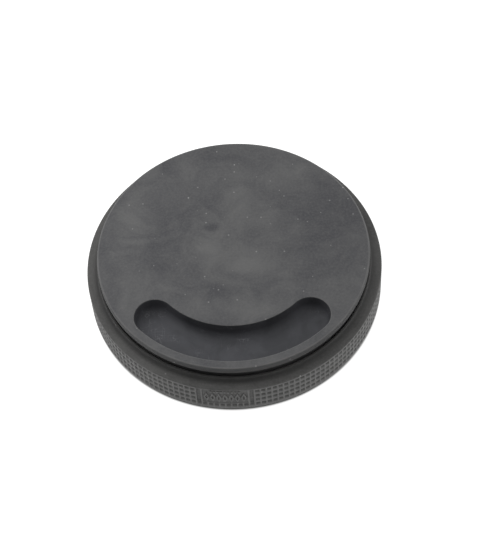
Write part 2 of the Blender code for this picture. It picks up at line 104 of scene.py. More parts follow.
# Fine shape of the disc and its tray
SMALL_CHAMFER = 0.1 * MM
SKIRT_CHAMFER = 0.3 * MM
EVEN_STRIP = 0.3 * MM  # regular faces beside a rounded edge, so that it shades cleanly
TRAY_EDGE_STRIP = 0.2 * MM
INNERMOST_RING = 2 * MM  # under the disc, closed by one face
MERGE_DISTANCE = MM / 10000
TRAY_EDGE_RADIUS = 0.25 * MM
TRAY_DRAFT = 0.25 * MM
TRAY_FILLET = 2.3 * MM
TRAY_ARC_STEPS = 120
TRAY_END_STEPS = 40
TOP_SLOT, TRAY_SLOT, EDGE_SLOT = 0, 1, 2
# Material of each strip from the disc's top down into the tray. Every later strip is the tray's.
TRAY_STRIP_SLOTS = (TOP_SLOT, EDGE_SLOT, EDGE_SLOT, EDGE_SLOT, TOP_SLOT)

# Grip band: rows and columns of small pockets between ribs
CELL_COLUMNS = 162
CELL_ROWS = 4
CELL_PITCH = 2.12 * MM
TOP_ROW_HEIGHT = 9.0 * MM  # middle of the top row of pockets
POCKET_DEPTH = 0.42 * MM
RIDGE_DROP = 0.03 * MM  # the level ridges stand this much lower than the upright ribs
# Each pocket drops steeply under its upper ridge and slopes back out to the lower one:
# (place in the cell, share of the depth)
POCKET_PROFILE = ((0.38, 0.0), (0.33, 0.35), (0.25, 1.0), (0.08, 0.8), (-0.12, 0.3), (-0.34, 0.0))
RIB_PROFILE = ((-0.41, 0.0), (-0.37, 0.3), (-0.31, 1.0), (0.31, 1.0), (0.37, 0.3), (0.41, 0.0))
LEDGE_STRIP = 0.08 * MM  # between the shell's level ledge and the wall's rounded top

# Plain panel at the front. It takes the place of the upper rows of pockets.
PANEL_CELLS = 10
PANEL_ROWS = 3
PANEL_DROP = 0.2 * MM
PANEL_GROOVE_DROP = 1.5 * PANEL_DROP
PANEL_GROOVE_START = 0.15  # in cells from either end of the panel
PANEL_GROOVE_END = 0.85
PANEL_RIB_END = 1.15
cell_angle = tau / CELL_COLUMNS
panel_middle = TRAY_MIDDLE + PANEL_TURN

# Raised marks on the panel. Spacings are in cells, and levels are (mm proud of the panel, share of the size).
LOZENGE_COUNT = 7
LOZENGE_SPACING = 1.05
LOZENGE_MIDDLE = 6.5 * MM
LOZENGE_HALF_WIDTH = 0.72 * MM
LOZENGE_HALF_HEIGHT = 2.2 * MM
LOZENGE_LEVELS = ((-0.2, 1.0), (0.2, 1.0), (0.28, 0.88), (0.28, 0.56), (0.1, 0.44), (-0.1, 0.38))
PIP_COUNT = 9
PIP_SPACING = 0.6
PIP_MIDDLE = 9.4 * MM
PIP_HALF_WIDTH = 0.34 * MM
PIP_HALF_HEIGHT = 0.4 * MM
PIP_STEPS = 12
PIP_LEVELS = ((-0.2, 1.0), (0.12, 1.0), (0.24, 0.75), (0.28, 0.4))

# Underside
FOOT_WIDTH = 4.0 * MM
FOOT_EDGE = 0.2 * MM
FOOT_GROOVES = 4
GROOVE_DEPTH = 0.2 * MM
GROOVE_HALF_MOUTH = 0.22 * MM
GROOVE_HALF_FLOOR = 0.1 * MM
COVER_BEVEL = 0.12 * MM
HOLE_CLEARANCE = 0.15 * MM
HOLE_MOUTH = 0.05 * MM  # the countersink ends this far below the cover's face
CUTTER_REACH = MM  # how far a hole's cutter goes past each face
SCREW_SHANK_RADIUS = 1.25 * MM
SCREW_HEAD_RADIUS = 2.4 * MM
SCREW_HEAD_HEIGHT = 1.15 * MM
SCREW_HEAD_RIM = 0.08 * MM
SCREW_HEAD_CHAMFER = 0.06 * MM
SCREW_NECK_STEP = 0.05 * MM
SCREW_TIP_TAPER = 0.3 * MM
THREAD_PITCH = 0.45 * MM
THREAD_DEPTH = 0.2 * MM
CROSS_LENGTH = 2.4 * MM
CROSS_WIDTH = 0.55 * MM
# The cross cut's levels: (height above the head's face, share of the size)
CROSS_LEVELS = ((-0.3 * MM, 1.06), (0, 1.0), (0.6 * MM, 0.72))
SCREW_TURNS = {"cover_screw_1": 12, "cover_screw_2": 71, "cover_screw_3": 38, "cover_screw_4": 55}

# Mesh quality
ROUND_STEPS = 360
SMALL_STEPS = 64
SHARP_ANGLE = radians(38)
SHORTEST_RUN = 2.2  # in bevel widths: a corner beside a shorter run stays sharp

# Rubber
SPECK_COLOUR = (0.40, 0.40, 0.39)
SCRATCH_COLOUR = (0.16, 0.16, 0.17)
TRAY_SPECK_COLOUR = (0.5, 0.5, 0.5)
PAINTED_SHADE_LEVEL = 0.42  # brightness of the painted shade under the disc's rim and in the shell's cove
# Depths under the disc's top where the painted shade on its side starts, is full, starts to fade and ends
PAINTED_SHADE_SIDE = (0.06 * MM, 0.38 * MM, 1.9 * MM, 2.3 * MM)
# Radii, outward from the collar's, where the painted shade on the shoulder starts, is full and starts to fade
PAINTED_SHADE_SHOULDER = (-0.6 * MM, -0.3 * MM, 0.3 * MM)
PAINTED_SHADE_SHOULDER_END = 1.3 * MM  # inward from the wall: where the painted shade on the shoulder ends
DUSTY_EDGE = 0.3 * MM  # height below the shell's ledge where its dust starts
STREAK_SHARE = 0.08
DUST_SHARE = 0.08
# painted light: the shell's side towards -X is paler
PAINTED_LIGHT_SIDE_SHARE = 0.1
PATCH_WOBBLE = 5 * MM
PATCH_WOBBLE_SCALE = 170
MIDDLE_PLACE = (0.5, 3)  # the handled middle of the disc's top, in mm like the marks
MIDDLE_SIZE = (17, 16)
MIDDLE_FADE = (0.2, 1.3)  # in half sizes: where it starts to fade and ends
MIDDLE_AMOUNT = 0.11
MARK_END = 1.2  # in half sizes
# Marks on the disc's top: (middle in mm, half size in mm, where it starts to fade, how much paler or darker).
# The broad patches near the edge are painted light towards -X and painted shade towards +X and the back;
# the smaller ones are marks in the rubber.
MARKS_AND_PAINTED_LIGHT = (
    ((-6, 8), (3.2, 2.2), 0.3, -0.2),
    ((-3.5, 16), (9, 4), 0.1, -0.07),
    ((3, -5), (6, 3), 0.1, 0.13),
    ((-8, 1), (3, 3), 0.1, 0.10),
    ((5, 5), (6, 5), 0.1, -0.12),
    ((1, 16), (5, 6), 0.1, 0.12),
    ((-25, 4), (8, 1.6), 0.2, 0.12),
    ((-29, 0), (5, 1.2), 0.3, 0.07),
    ((-4, -12), (3, 3), 0.2, -0.06),
    ((-20, -3), (9, 4), 0.1, -0.06),
    ((22, 22), (9, 5), 0.1, -0.06),
    ((30, 4), (10, 22), 0.1, -0.07),
    ((22, -22), (9, 6), 0.1, -0.09),
    ((0, 31), (26, 8), 0.1, -0.09),
    ((-26, -14), (9, 12), 0.1, 0.16),
    ((-28, 8), (8, 14), 0.1, 0.15),
    ((0, -18), (18, 5), 0.1, 0.15),
)

# Camera
AZIMUTH = radians(4.65)
ELEVATION = radians(56.61)
ROLL = radians(-4.87)
DISTANCE = 0.45
LENS = 105.4
SHIFT = (0.0085, 0.0108)
CLIP_START = 0.01

# Floor and light
FLOOR_RADIUS = 3.0
FLOOR_HEIGHT = -0.0001
TABLE_GLOW = 0.9
SKY_MIDDLE = (0.5, 0.45, 0.8)  # direction of the brightest sky
SKY_EDGES = (0.10, 0.95)  # how closely a direction points that way, where the sky is dimmest and brightest
SKY_STRENGTHS = (0.23, 1.22)
SOFTBOX_PLACE = (-0.15, 0.06, 0.2)
SOFTBOX_SIZE = 0.26
SOFTBOX_POWER = 0.4


# Mesh helpers


def object_from(name, bm, materials):
    bmesh.ops.recalc_face_normals(bm, faces=bm.faces)
    mesh = bpy.data.meshes.new(name)
    bm.to_mesh(mesh)
    bm.free()
    for material in materials:
        mesh.materials.append(material)
    mesh.shade_smooth()
    mesh.set_sharp_from_angle(angle=SHARP_ANGLE)
    thing = bpy.data.objects.new(name, mesh)
    bpy.context.scene.collection.objects.link(thing)
    return thing


def arc(centre, radius, start, end, steps):
    angles = [start + (end - start) * step / steps for step in range(steps + 1)]
    return [(centre[0] + radius * cos(a), centre[1] + radius * sin(a)) for a in angles]


def loop_of(bm, points):
    return [bm.verts.new(point) for point in points]


def skin(bm, first, second, slot=0):
    """A closed strip of quads between two loops of the same length."""
    for i in range(len(first)):
        face = bm.faces.new((first[i - 1], first[i], second[i], second[i - 1]))
        face.material_index = slot


def circle(radius, height, steps=ROUND_STEPS):
    angles = [tau * step / steps for step in range(steps)]
    return [(radius * cos(a), radius * sin(a), height) for a in angles]


def ring_of_columns(bm, columns, radius, height):
    """One level ring of the grip shell, with a point on each upright line of its band."""
    return loop_of(bm, [(radius * cos(angle), radius * sin(angle), height) for angle, *_ in columns])


def rotated(point, angle):
    x, y = point
    return (x * cos(angle) - y * sin(angle), x * sin(angle) + y * cos(angle))


def stacked(bm, loops):
    """Joins each loop to the next, and closes both ends with a face."""
    for first, second in zip(loops, loops[1:]):
        skin(bm, first, second)
    bm.faces.new(loops[0])
    bm.faces.new(loops[-1])


def turned(name, section, steps, material):
    """A piece spun round Z from (radius, height) points: a ring, or a solid if both ends have radius 0."""
    bm = bmesh.new()
    on_axis = section[0][0] == 0
    rings = []
    for radius, height in section[1:-1] if on_axis else section:
        rings.append(loop_of(bm, circle(radius, height, steps)))
    for first, second in zip(rings, rings[1:]):
        skin(bm, first, second)
    if on_axis:
        for ring, (_, height) in ((rings[0], section[0]), (rings[-1], section[-1])):
            tip = bm.verts.new((0, 0, height))
            for i in range(steps):
                bm.faces.new((ring[i - 1], ring[i], tip))
    else:
        skin(bm, rings[-1], rings[0])
    return object_from(name, bm, [material])


def bevelled(section, width, steps=3):
    """The section with each corner between two straight runs rounded by a short arc of about this width."""
    rounded = []
    count = len(section)
    for i, (radius, height) in enumerate(section):
        here = Vector((radius, height))
        before = Vector(section[i - 1]) - here
        after = Vector(section[(i + 1) % count]) - here
        ends_on_axis = radius == 0
        if ends_on_axis or min(before.length, after.length) < width * SHORTEST_RUN:
            rounded.append((radius, height))
            continue
        a = here + before.normalized() * width
        b = here + after.normalized() * width
        for step in range(steps + 1):
            t = step / steps
            point = a * (1 - t) ** 2 + here * 2 * t * (1 - t) + b * t**2
            rounded.append((point.x, point.y))
    return rounded


# Node helpers


def new_material(name):
    material = bpy.data.materials.new(name)
    material.use_nodes = True
    return material, material.node_tree, material.node_tree.nodes["Principled BSDF"]


def feed(tree, socket, value):
    if isinstance(value, bpy.types.NodeSocket):
        tree.links.new(value, socket)
    else:
        socket.default_value = value


def node(tree, kind, inputs=(), **settings):
    made = tree.nodes.new(kind)
    for key, value in settings.items():
        setattr(made, key, value)
    for key, value in dict(inputs).items():
        feed(tree, made.inputs[key], value)
    return made


def place(tree):
    """Position in the row frame. It turns with the piece."""
    return node(tree, "ShaderNodeTexCoord").outputs["Object"]


def maths(tree, operation, a, b=0.0):
    return node(tree, "ShaderNodeMath", {0: a, 1: b}, operation=operation).outputs[0]


def remap(tree, value, low, high, out_low=0.0, out_high=1.0, smooth=False):
    settings = {"interpolation_type": "SMOOTHSTEP"} if smooth else {}
    inputs = {
        "Value": value,
        "From Min": low,
        "From Max": high,
        "To Min": out_low,
        "To Max": out_high,
    }
    return node(tree, "ShaderNodeMapRange", inputs, **settings).outputs["Result"]


def weighted(tree, first, first_share, second, second_share):
    """The sum of two numbers, each times its share."""
    a = maths(tree, "MULTIPLY", first, first_share)
    return maths(tree, "ADD", a, maths(tree, "MULTIPLY", second, second_share))


def noise(tree, where, scale, detail=3.0, roughness=0.55, distortion=0.0):
    inputs = {
        "Vector": where,
        "Scale": scale,
        "Detail": detail,
        "Roughness": roughness,
        "Distortion": distortion,
    }
    return node(tree, "ShaderNodeTexNoise", inputs).outputs["Fac"]


def blend_colour(tree, share, first, second):
    made = node(tree, "ShaderNodeMix", data_type="RGBA")
    feed(tree, made.inputs["Factor"], share)
    for name, colour in (("A", first), ("B", second)):
        feed(tree, made.inputs[name], colour if isinstance(colour, bpy.types.NodeSocket) else (*colour, 1))
    return made.outputs["Result"]


def vector_maths(tree, operation, a, b=(0, 0, 0)):
    """A vector, or a number for LENGTH and DOT_PRODUCT."""
    made = node(tree, "ShaderNodeVectorMath", {0: a, 1: b}, operation=operation)
    return made.outputs["Value" if operation in ("LENGTH", "DOT_PRODUCT") else "Vector"]


def vector_scaled(tree, vector, factor):
    inputs = {0: vector, "Scale": factor}
    return node(tree, "ShaderNodeVectorMath", inputs, operation="SCALE").outputs["Vector"]


def axis_distance(tree, where):
    return vector_maths(tree, "LENGTH", vector_maths(tree, "MULTIPLY", where, (1, 1, 0)))


def height_of(tree, where):
    return node(tree, "ShaderNodeSeparateXYZ", {0: where}).outputs["Z"]


def bump(tree, height, strength, distance, below=None):
    inputs = {"Height": height, "Strength": strength, "Distance": distance}
    if below is not None:
        inputs["Normal"] = below
    return node(tree, "ShaderNodeBump", inputs).outputs["Normal"]


def specks(tree, where, scale, size, share):
    """Small scattered dots: 1 inside a dot. Only this share of the cells has one."""
    cells = node(tree, "ShaderNodeTexVoronoi", {"Vector": where, "Scale": scale})
    near = remap(tree, cells.outputs["Distance"], size * 0.6, size, 1.0, 0.0)
    chosen = node(tree, "ShaderNodeSeparateColor", {0: cells.outputs["Color"]}).outputs[0]
    return maths(tree, "MULTIPLY", near, maths(tree, "LESS_THAN", chosen, share))


def streaks(tree, where, stretch, scale, low, high):
    """Fine scratches: noise drawn out along one direction, then cut to thin lines."""
    inputs = {"Vector": where, "Scale": stretch}
    long = node(tree, "ShaderNodeMapping", inputs, vector_type="POINT").outputs[0]
    line = noise(tree, long, scale, detail=2.0, roughness=0.5, distortion=0.4)
    ridge = maths(tree, "ABSOLUTE", maths(tree, "SUBTRACT", line, 0.5))
    return remap(tree, ridge, low, high, 1.0, 0.0)


# Materials


def rubber(name, dark, light, dusty, roughness, grain, rim=None, painted_shade=None, marks_and_painted_light=None):
    """Matt moulded rubber: cloudy colour, fine grain and pale specks.

    rim holds the radii where a paler band starts, is full, starts to fade and ends, and how much of the dusty
    colour it takes: wear, and on the disc's rounded rim also a painted highlight. The last two are functions
    of the tree and the place. The first gives the share, from 0 to 1, of painted shade, a darker colour where
    shade falls under the disc's rim and in the shell's cove. The second gives an amount to add to the clouds:
    the rubber's marks, streaks and dust, and painted light and shade across it.
    """
    material, tree, shader = new_material(name)
    where = place(tree)
    broad = noise(tree, where, scale=30, detail=2.0, roughness=0.5, distortion=0.4)
    clouds = noise(tree, where, scale=120, detail=6.0, roughness=0.66, distortion=0.8)
    both = weighted(tree, clouds, 0.6, broad, 0.4)
    # marks, streaks and dust in the rubber, and painted light and shade across it
    if marks_and_painted_light:
        both = maths(tree, "ADD", both, marks_and_painted_light(tree, where))
    colour = blend_colour(tree, remap(tree, both, 0.38, 0.70), dark, light)
    powder = noise(tree, where, scale=1500, detail=4.0, roughness=0.7)
    colour = blend_colour(tree, remap(tree, powder, 0.42, 0.80, 0.0, 0.4), colour, dusty)
    if rim:
        colour = blend_colour(tree, rim_wear_and_painted_highlight(tree, where, *rim), colour, dusty)
    # painted shade: darker colour where shade falls under the disc's rim and in the shell's cove
    if painted_shade:
        deep = vector_scaled(tree, colour, PAINTED_SHADE_LEVEL)
        colour = blend_colour(tree, painted_shade(tree, where), colour, deep)
    small = specks(tree, where, scale=800, size=0.22, share=0.05)
    large = specks(tree, where, scale=400, size=0.10, share=0.05)
    dots = maths(
        tree,
        "MAXIMUM",
        maths(tree, "MULTIPLY", small, 0.28),
        maths(tree, "MULTIPLY", large, 0.5),
    )
    colour = blend_colour(tree, dots, colour, SPECK_COLOUR)
    feed(tree, shader.inputs["Base Color"], colour)
    rough = remap(tree, clouds, 0.3, 0.7, roughness - 0.07, roughness + 0.07)
    feed(tree, shader.inputs["Roughness"], rough)
    shader.inputs["Specular IOR Level"].default_value = 0.22
    shader.inputs["Sheen Weight"].default_value = 0.12
    shader.inputs["Sheen Roughness"].default_value = 0.6
    fine = noise(tree, where, scale=5200, detail=4.0, roughness=0.65)
    coarse = noise(tree, where, scale=900, detail=3.0, roughness=0.6)
    normal = bump(tree, coarse, grain * 0.6, 0.05 * MM)
    normal = bump(tree, fine, grain, 0.03 * MM, normal)
    feed(tree, shader.inputs["Normal"], normal)
    return material


def rim_wear_and_painted_highlight(tree, where, start, full, fading, end, share):
    """Uneven paler band on radii round the axis: wear, and on the disc's rounded rim also a painted highlight.
    """
    distance = axis_distance(tree, where)
    rise = remap(tree, distance, start, full, smooth=True)
    fall = remap(tree, distance, fading, end, 1.0, 0.0, smooth=True)
    uneven = remap(tree, noise(tree, where, scale=240), 0.3, 0.7, 0.5, 1.0)
    worn = maths(tree, "MULTIPLY", maths(tree, "MULTIPLY", rise, fall), uneven)
    return maths(tree, "MULTIPLY", worn, share)


def spot(tree, where, middle, size, inner, outer):
    """A soft round patch with this middle and half size in mm: 1 inside inner, 0 beyond outer."""
    moved = vector_maths(tree, "SUBTRACT", where, (middle[0] * MM, middle[1] * MM, 0))
    inputs = {"Vector": where, "Scale": PATCH_WOBBLE_SCALE, "Detail": 3.0}
    wobble = node(tree, "ShaderNodeTexNoise", inputs).outputs["Color"]
    shifted = vector_maths(tree, "SUBTRACT", wobble, (0.5, 0.5, 0.5))
    mixed = vector_maths(tree, "ADD", moved, vector_scaled(tree, shifted, PATCH_WOBBLE))
    scaled = vector_maths(tree, "MULTIPLY", mixed, (1 / (size[0] * MM), 1 / (size[1] * MM), 0))
    return remap(tree, vector_maths(tree, "LENGTH", scaled), inner, outer, 1.0, 0.0, smooth=True)


def handled_marks_and_painted_light(tree, where):
    """Paler rubber where watches have lain, with the marks left in it and round it, and broad patches of
    painted light towards -X and painted shade towards +X and the back.
    """
    handled = spot(tree, where, MIDDLE_PLACE, MIDDLE_SIZE, *MIDDLE_FADE)
    amount = maths(tree, "MULTIPLY", handled, MIDDLE_AMOUNT)
    for middle, size, inner, share in MARKS_AND_PAINTED_LIGHT:
        mark = spot(tree, where, middle, size, inner, MARK_END)
        amount = maths(tree, "ADD", amount, maths(tree, "MULTIPLY", mark, share))
    return amount


def streaks_dust_and_painted_light(tree, where):
    """Faint lines that run round the shell, dust on its level ledge, and painted light: a paler side towards
    -X.
    """
    parts = node(tree, "ShaderNodeSeparateXYZ", {0: where})
    turn = maths(tree, "ARCTAN2", parts.outputs["Y"], parts.outputs["X"])
    along = maths(tree, "MULTIPLY", turn, 3 * MM)
    inputs = {"X": axis_distance(tree, where), "Y": along, "Z": parts.outputs["Z"]}
    unrolled = node(tree, "ShaderNodeCombineXYZ", inputs).outputs[0]
    lines = noise(tree, unrolled, scale=1100, detail=4.0, roughness=0.6)
    streaky = remap(tree, lines, 0.3, 0.7, -STREAK_SHARE, STREAK_SHARE)
    dust = remap(tree, parts.outputs["Z"], wall_top - DUSTY_EDGE, wall_top, 0.0, DUST_SHARE)
    # painted light on the side towards -X
    painted_light_side = remap(tree, parts.outputs["X"], -base_radius, 0.0, PAINTED_LIGHT_SIDE_SHARE, 0.0)
    return maths(tree, "ADD", streaky, maths(tree, "ADD", dust, painted_light_side))


def painted_shade_under_rim(tree, where):
    """Painted shade on the disc's side, from just below its top edge down to where it curves in."""
    height = height_of(tree, where)
    start, full, fading, end = (disc_top - depth for depth in PAINTED_SHADE_SIDE)
    below_top = remap(tree, height, full, start, 1.0, 0.0)
    above_curve = remap(tree, height, end, fading)
    return maths(tree, "MULTIPLY", below_top, above_curve)


def painted_shade_in_cove(tree, where):
    """Painted shade on the shell's dished shoulder, from the collar's edge out to the ledge."""
    distance = axis_distance(tree, where)
    start, full, fading = (collar_radius + step for step in PAINTED_SHADE_SHOULDER)
    end = base_radius - PAINTED_SHADE_SHOULDER_END
    inside = remap(tree, distance, fading, end, 1.0, 0.0, smooth=True)
    mouth = remap(tree, distance, start, full)
    return maths(tree, "MULTIPLY", inside, mouth)


def tray_rubber():
    """The tray's smoother, cleaner rubber, with fine scratches from tweezers. Its darker colour is partly
    cleaner rubber and partly painted shade in the recess.
    """
    material, tree, shader = new_material("tray_rubber")
    where = place(tree)
    clouds = noise(tree, where, scale=95, detail=4.0, roughness=0.6, distortion=0.6)
    # darker than the disc's top: cleaner rubber and painted shade in the tray's recess
    dark, light = (0.038, 0.039, 0.043), (0.055, 0.056, 0.062)
    colour = blend_colour(tree, remap(tree, clouds, 0.35, 0.65, smooth=True), dark, light)
    crossing = maths(
        tree,
        "MAXIMUM",
        streaks(tree, where, (1.0, 0.16, 1.0), 700, 0.004, 0.012),
        streaks(tree, where, (0.2, 1.0, 1.0), 560, 0.003, 0.010),
    )
    patchy = remap(tree, noise(tree, where, scale=130, detail=2.0), 0.5, 0.68)
    scratch = maths(tree, "MULTIPLY", crossing, patchy)
    colour = blend_colour(tree, maths(tree, "MULTIPLY", scratch, 0.4), colour, SCRATCH_COLOUR)
    dots = specks(tree, where, scale=520, size=0.05, share=0.16)
    colour = blend_colour(tree, maths(tree, "MULTIPLY", dots, 0.6), colour, TRAY_SPECK_COLOUR)
    feed(tree, shader.inputs["Base Color"], colour)
    feed(tree, shader.inputs["Roughness"], remap(tree, clouds, 0.3, 0.7, 0.58, 0.70))
    shader.inputs["Specular IOR Level"].default_value = 0.2
    normal = bump(tree, noise(tree, where, scale=3000), 0.18, 0.03 * MM)
    normal = bump(tree, scratch, 0.25, -0.03 * MM, normal)
    feed(tree, shader.inputs["Normal"], normal)
    return material


def turned_metal(name, base, tint, roughness, ring_scale, metallic=1.0):
    """Metal or hard plastic turned on a lathe: fine rings round the axis, and a stain towards tint."""
    material, tree, shader = new_material(name)
    where = place(tree)
    distance = axis_distance(tree, where)
    inputs = {"X": distance, "Y": height_of(tree, where)}
    across = node(tree, "ShaderNodeCombineXYZ", inputs).outputs[0]
    rings = noise(tree, across, ring_scale, roughness=0.7)
    stain = noise(tree, where, scale=110, detail=4.0, roughness=0.6)
    colour = blend_colour(tree, remap(tree, stain, 0.35, 0.7, smooth=True), base, tint)
    feed(tree, shader.inputs["Base Color"], colour)
    shader.inputs["Metallic"].default_value = metallic
    both = weighted(tree, rings, 0.6, stain, 0.4)
    rough = remap(tree, both, 0.3, 0.7, roughness - 0.08, roughness + 0.1)
    feed(tree, shader.inputs["Roughness"], rough)
    feed(tree, shader.inputs["Normal"], bump(tree, rings, 0.25, 0.01 * MM))
    return material


def coated_metal():
    """Black textured coating on the bottom cover."""
    material, tree, shader = new_material("cover_coating")
    where = place(tree)
    pebbles = noise(tree, where, scale=1500, detail=4.0, roughness=0.6)
    scuffs = noise(tree, where, scale=75, detail=4.0, roughness=0.65, distortion=0.5)
    dark, light = (0.020, 0.020, 0.021), (0.040, 0.040, 0.041)
    colour = blend_colour(tree, remap(tree, scuffs, 0.4, 0.7), dark, light)
    feed(tree, shader.inputs["Base Color"], colour)
    feed(tree, shader.inputs["Roughness"], remap(tree, pebbles, 0.3, 0.7, 0.42, 0.6))
    feed(tree, shader.inputs["Normal"], bump(tree, pebbles, 0.5, 0.06 * MM))
    return material


def pale_floor():
    """The lit table of a product studio. It glows except under the object, which leaves a thin dark line: a
    painted contact shadow round the foot.
    """
    material, tree, shader = new_material("pale_floor")
    where = place(tree)
    tone = noise(tree, where, scale=6, detail=2.0)
    colour = blend_colour(tree, tone, (0.34, 0.34, 0.34), (0.37, 0.37, 0.365))
    feed(tree, shader.inputs["Base Color"], colour)
    shader.inputs["Roughness"].default_value = 0.7
    shader.inputs["Specular IOR Level"].default_value = 0.2
    shader.inputs["Emission Color"].default_value = (1, 1, 1, 1)
    distance = axis_distance(tree, where)
    # painted contact shadow: the glow fades out under the object's edge
    glow = remap(tree, distance, base_radius - 0.5 * MM, base_radius + 0.05 * MM, 0.0, TABLE_GLOW)
    feed(tree, shader.inputs["Emission Strength"], glow)
    return material


# Pieces


def tray_points(half_width, height):
    """Every point at this height that is half_width from the tray's middle arc."""
    first = TRAY_MIDDLE - TRAY_SPAN / 2
    last = TRAY_MIDDLE + TRAY_SPAN / 2
    along = [first + TRAY_SPAN * step / TRAY_ARC_STEPS for step in range(TRAY_ARC_STEPS + 1)]
    turn = [pi * step / TRAY_END_STEPS for step in range(1, TRAY_END_STEPS)]
    outer, inner = tray_radius + half_width, tray_radius - half_width
    points = [(outer * cos(a), outer * sin(a)) for a in along]
    points += tray_end(last, half_width, [last + angle for angle in turn])
    points += [(inner * cos(a), inner * sin(a)) for a in reversed(along)]
    points += tray_end(first, half_width, [first + pi + angle for angle in turn])
    return [(x, y, height) for x, y in points]


def tray_end(middle, half_width, angles):
    centre = Vector((tray_radius * cos(middle), tray_radius * sin(middle)))
    return [tuple(centre + half_width * Vector((cos(a), sin(a)))) for a in angles]


def rubber_disc(top_material, tray_material, edge_material):
    """The disc with its rounded rim, the tray with its soft edge and filleted floor, and the skirt below."""
    bm = bmesh.new()
    half = TRAY_WIDTH / 2
    edge_centre = (half + TRAY_EDGE_RADIUS, disc_top - TRAY_EDGE_RADIUS)
    tray_section = [(edge_centre[0] + TRAY_EDGE_STRIP, disc_top)]
    tray_section += arc(edge_centre, TRAY_EDGE_RADIUS, pi / 2, pi, 6)
    floor_centre = (half - TRAY_DRAFT - TRAY_FILLET, tray_floor + TRAY_FILLET)
    tray_section += arc(floor_centre, TRAY_FILLET, 0, -pi / 2, 9)
    tray_section += [(floor_centre[0] - EVEN_STRIP, tray_floor), (0, tray_floor)]
    loops = [loop_of(bm, tray_points(offset, height)) for offset, height in tray_section]
    strip_slots = chain(TRAY_STRIP_SLOTS, repeat(TRAY_SLOT))
    for outer, inner, slot in zip(loops, loops[1:], strip_slots):
        skin(bm, outer, inner, slot)
    bmesh.ops.remove_doubles(bm, verts=loops[-1], dist=MERGE_DISTANCE)

    rim_centre = (disc_radius - DISC_RIM_RADIUS, disc_top - DISC_RIM_RADIUS)
    edge_bottom = disc_top - DISC_EDGE_HEIGHT
    plate_seat = plate_high.x + SEAT_GAP
    lip_inner = plate_seat - LIP_WIDTH
    pad_under = plate_high.z + SEAT_GAP
    section = [(rim_centre[0] - EVEN_STRIP, disc_top)]
    section += arc(rim_centre, DISC_RIM_RADIUS, pi / 2, 0, 8)
    under_centre = (disc_radius - DISC_UNDER_RADIUS, edge_bottom + DISC_UNDER_RADIUS)
    section += arc(under_centre, DISC_UNDER_RADIUS, 0, -pi / 2, 8)
    section += [
        (skirt_radius, edge_bottom - SMALL_CHAMFER),
        (skirt_radius, lip_bottom + SKIRT_CHAMFER),
        (skirt_radius - SKIRT_CHAMFER, lip_bottom),
        (lip_inner + SMALL_CHAMFER, lip_bottom),
        (lip_inner, lip_bottom + SMALL_CHAMFER),
        (lip_inner, lip_bottom + LIP_THICKNESS),
        (plate_seat, lip_bottom + LIP_THICKNESS),
        (plate_seat, pad_under),
        (INNERMOST_RING, pad_under),
    ]
    rings = [loop_of(bm, circle(radius, height)) for radius, height in section]
    for outer, inner in zip(rings, rings[1:]):
        skin(bm, outer, inner)
    bmesh.ops.contextual_create(bm, geom=rings[-1])
    border = []
    for loop in (loops[0], rings[0]):
        border += [bm.edges.get((loop[i - 1], loop[i])) for i in range(len(loop))]
    bmesh.ops.triangle_fill(
        bm, use_beauty=True, use_dissolve=False, edges=border, normal=(0, 0, 1)
    )
    return object_from("rubber_disc", bm, [top_material, tray_material, edge_material])


def column_angles():
    """Each upright line of the band: its angle, cell number, place in the cell and share of the depth."""
    start = panel_middle - PANEL_CELLS * cell_angle / 2
    lines = []
    for cell in range(CELL_COLUMNS):
        for offset, share in RIB_PROFILE:
            lines.append((start + (cell + 0.5 + offset) * cell_angle, cell, offset, share))
    return lines


def band_rows():
    """Each level line of the band: its height, its row's number and its share of the depth."""
    lines = []
    for row in range(CELL_ROWS):
        middle = TOP_ROW_HEIGHT - row * CELL_PITCH
        for offset, share in POCKET_PROFILE:
            lines.append((middle + offset * CELL_PITCH, row, share))
    return lines


